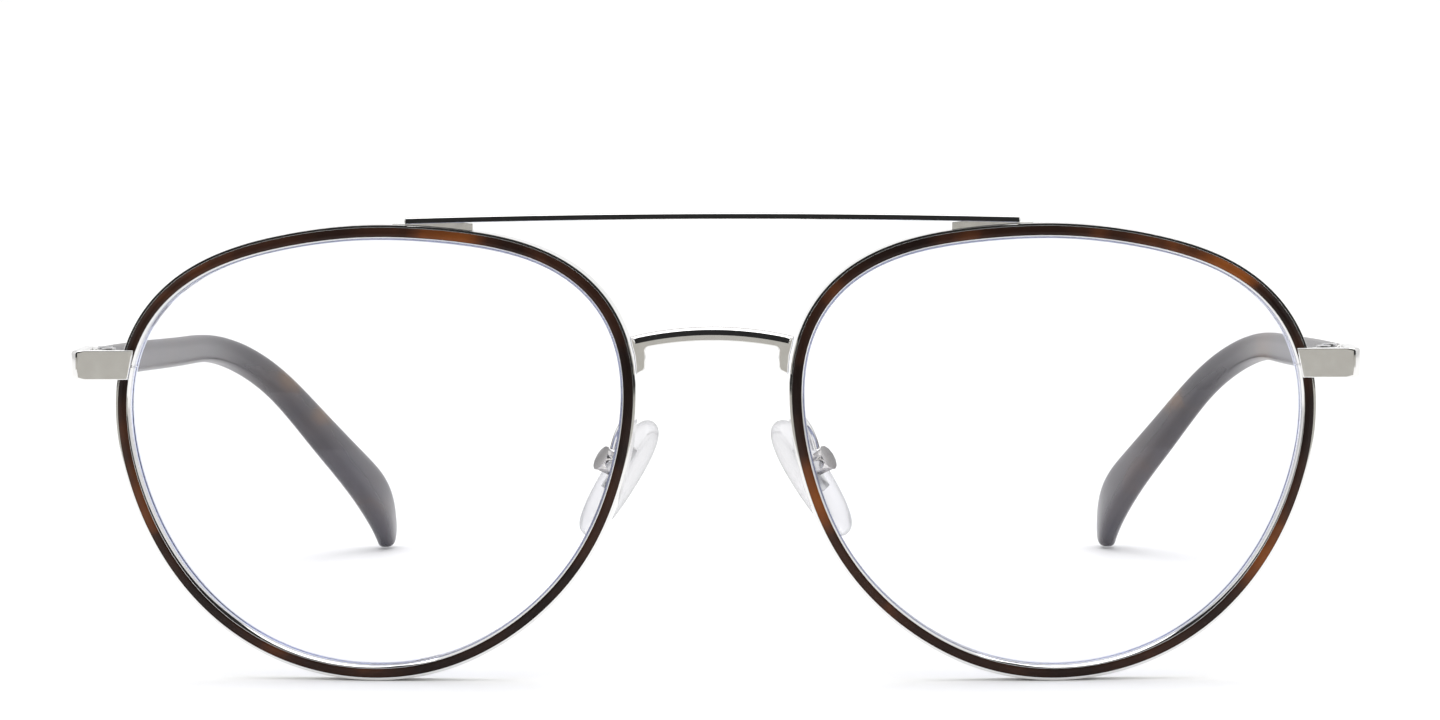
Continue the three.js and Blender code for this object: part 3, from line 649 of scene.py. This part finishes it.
def pad_arm():
    """A round wire from the back of the rim to the top of the pad box."""
    up = pad_axes()[1]
    box_top = in_pad_frame([(0, PAD_BOX_TOP, PAD_BOX_OUT)])[0]
    root = rim_points([ARM_ROOT_ANGLE], -0.6, 2.9)[0]
    path = spline([root, root + [0.1, 1.4, 0], box_top + up * 1.4 + [0.3, -0.2, 0.3], box_top], 40)
    along = unit(np.gradient(path, axis=0))
    side = unit(np.cross(along, [1.0, 0.2, 0.0]))
    other = np.cross(along, side)
    turns = np.linspace(0, 2 * math.pi, 20, endpoint=False)
    rings = [[p + ARM_RADIUS * (math.cos(t) * s + math.sin(t) * o) for t in turns]
             for p, s, o in zip(path, side, other)]
    return skin(rings)


pair("pad_arm_wire", pad_arm(), SILVER, "polished_silver", "pad_arm")


# ---- Small metal parts: the CAD solids with eased edges ----
def dress(node_name, material, ease, sharp=35):
    """A CAD solid with its own material and its edges eased by so many millimetres."""
    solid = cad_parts[node_name]
    solid.data.materials.clear()
    solid.data.materials.append(material)
    weld = solid.modifiers.new("weld", "WELD")
    weld.merge_threshold = 2e-6
    if ease:
        bevel = solid.modifiers.new("ease", "BEVEL")
        bevel.width = ease * MM
        bevel.segments = 3
        bevel.limit_method = "ANGLE"
        bevel.angle_limit = math.radians(sharp)
        bevel.harden_normals = True
    solid.data.shade_smooth()


SMALL_PARTS = [
    ("front_hinge", SILVER, 0.06), ("temple_hinge", SILVER, 0.06), ("temple_cap", SILVER, 0.08),
    ("closing_block_upper", SILVER, 0.08), ("closing_block_lower", SILVER, 0.08),
    ("pad_box", BOX_STEEL, 0.12), ("hinge_screw", STEEL, 0.05), ("closing_screw", STEEL, 0.05),
    ("pad_screw", STEEL, 0.04),
    ("pad_core", PAD_STEEL, 0.04), ("temple_core", STEEL, 0.0)]
for suffix in ("left", "right"):
    for stem, finish, ease in SMALL_PARTS:
        dress(f"{stem}_{suffix}", finish, ease)


# ---- Studio ----
def floor_material():
    material, tree, shader = new_material("studio_paper")
    tone = noise(tree, 3.0, 2.0)
    paper = ramp(tree, tone.outputs["Fac"], [(0.3, (0.90, 0.90, 0.90)), (0.7, (0.93, 0.93, 0.93))])
    tree.links.new(paper.outputs["Color"], shader.inputs["Base Color"])
    shader.inputs["Roughness"].default_value = 0.7
    shader.inputs["Specular IOR Level"].default_value = 0.2
    return material


def studio_sweep():
    """A floor that curves up into a backdrop."""
    bend = 1.2
    profile = [(-3.0, 0.0), (bend, 0.0)]
    turns = np.linspace(0.1, math.pi / 2, 14)
    profile += [(bend + bend * math.sin(a), bend - bend * math.cos(a)) for a in turns]
    profile += [(2 * bend, 3.5)]
    mesh = bpy.data.meshes.new("studio_sweep")
    verts = [(x, y, z) for y, z in profile for x in (-4.0, 4.0)]
    faces = [(2 * i, 2 * i + 1, 2 * i + 3, 2 * i + 2) for i in range(len(profile) - 1)]
    mesh.from_pydata(verts, [], faces)
    mesh.shade_smooth()
    mesh.materials.append(floor_material())
    sweep = bpy.data.objects.new("studio_sweep", mesh)
    bpy.context.scene.collection.objects.link(sweep)


def area_light(name, size, power, place, aim):
    data = bpy.data.lights.new(name, "AREA")
    data.shape = "RECTANGLE"
    data.size, data.size_y = size
    data.energy = power
    lamp = bpy.data.objects.new(name, data)
    lamp.location = place
    lamp.rotation_euler = (Vector(aim) - Vector(place)).to_track_quat("-Z", "Y").to_euler()
    bpy.context.scene.collection.objects.link(lamp)


def world_light():
    """An even white room, a little dimmer low down."""
    world = bpy.data.worlds.new("studio")
    bpy.context.scene.world = world
    world.use_nodes = True
    tree = world.node_tree
    coordinates = node(tree, "ShaderNodeTexCoord")
    parts = node(tree, "ShaderNodeSeparateXYZ")
    tree.links.new(coordinates.outputs["Generated"], parts.inputs["Vector"])
    bands = ramp(tree, parts.outputs["Z"], [(0.0, (0.80, 0.80, 0.80)), (0.6, (1.0, 1.0, 1.0))])
    tree.links.new(bands.outputs["Color"], tree.nodes["Background"].inputs["Color"])
    tree.nodes["Background"].inputs["Strength"].default_value = WORLD_STRENGTH


def reflector(name, low, high, half_width, brightness, colour=(1.0, 1.0, 1.0)):
    """A curved card in front of the object that only reflections see. Angles are in degrees."""
    mesh = bpy.data.meshes.new(name)
    verts = []
    for elevation in np.radians(np.linspace(low, high, CARD_ROWS + 1)):
        for turn in np.radians(np.linspace(-half_width, half_width, CARD_COLUMNS + 1)):
            verts.append((CARD_RADIUS * math.sin(turn) * math.cos(elevation),
                          -CARD_RADIUS * math.cos(turn) * math.cos(elevation),
                          CARD_CENTRE_Z + CARD_RADIUS * math.sin(elevation)))
    wide = CARD_COLUMNS + 1
    corners = [wide * i + j for i in range(CARD_ROWS) for j in range(CARD_COLUMNS)]
    faces = [(k, k + 1, k + wide + 1, k + wide) for k in corners]
    mesh.from_pydata(verts, [], faces)
    material, tree, shader = new_material(name)
    tree.nodes.remove(shader)
    glow = node(tree, "ShaderNodeEmission", Strength=brightness)
    glow.inputs["Color"].default_value = (*colour, 1)
    tree.links.new(glow.outputs["Emission"], tree.nodes["Material Output"].inputs["Surface"])
    mesh.materials.append(material)
    made = bpy.data.objects.new(name, mesh)
    made.visible_camera = False
    made.visible_diffuse = False
    made.visible_shadow = False
    made.visible_transmission = False
    bpy.context.scene.collection.objects.link(made)


def camera():
    data = bpy.data.cameras.new("camera")
    data.sensor_width = 36.0
    data.lens = CAMERA_LENS
    data.clip_start, data.clip_end = 0.01, 30.0
    made = bpy.data.objects.new("camera", data)
    bpy.context.scene.collection.objects.link(made)
    forward = Vector((-math.sin(CAMERA_YAW) * math.cos(CAMERA_PITCH),
                      math.cos(CAMERA_YAW) * math.cos(CAMERA_PITCH), -math.sin(CAMERA_PITCH)))
    level = forward.cross(Vector((0, 0, 1))).normalized()
    above = level.cross(forward)
    right = level * math.cos(CAMERA_ROLL) + above * math.sin(CAMERA_ROLL)
    up = above * math.cos(CAMERA_ROLL) - level * math.sin(CAMERA_ROLL)
    turn = Matrix((right, up, -forward)).transposed()
    place = Vector(tuple((np.array(CAMERA_AT) + SHIFT) * MM))
    made.matrix_world = Matrix.Translation(place) @ turn.to_4x4()
    bpy.context.scene.camera = made


studio_sweep()
world_light()
reflector("grey_card", -5.2, 0.9, 50, 0.556, (1.0, 0.972, 0.90))
reflector("black_card", 0.9, 60, 50, 0.025)
area_light("overhead", (1.6, 1.6), 14.0, (0, 0.0, 1.5), (0, 0, 0))
camera()

view_settings = bpy.context.scene.view_settings
view_settings.view_transform = "Standard"
view_settings.look = "None"
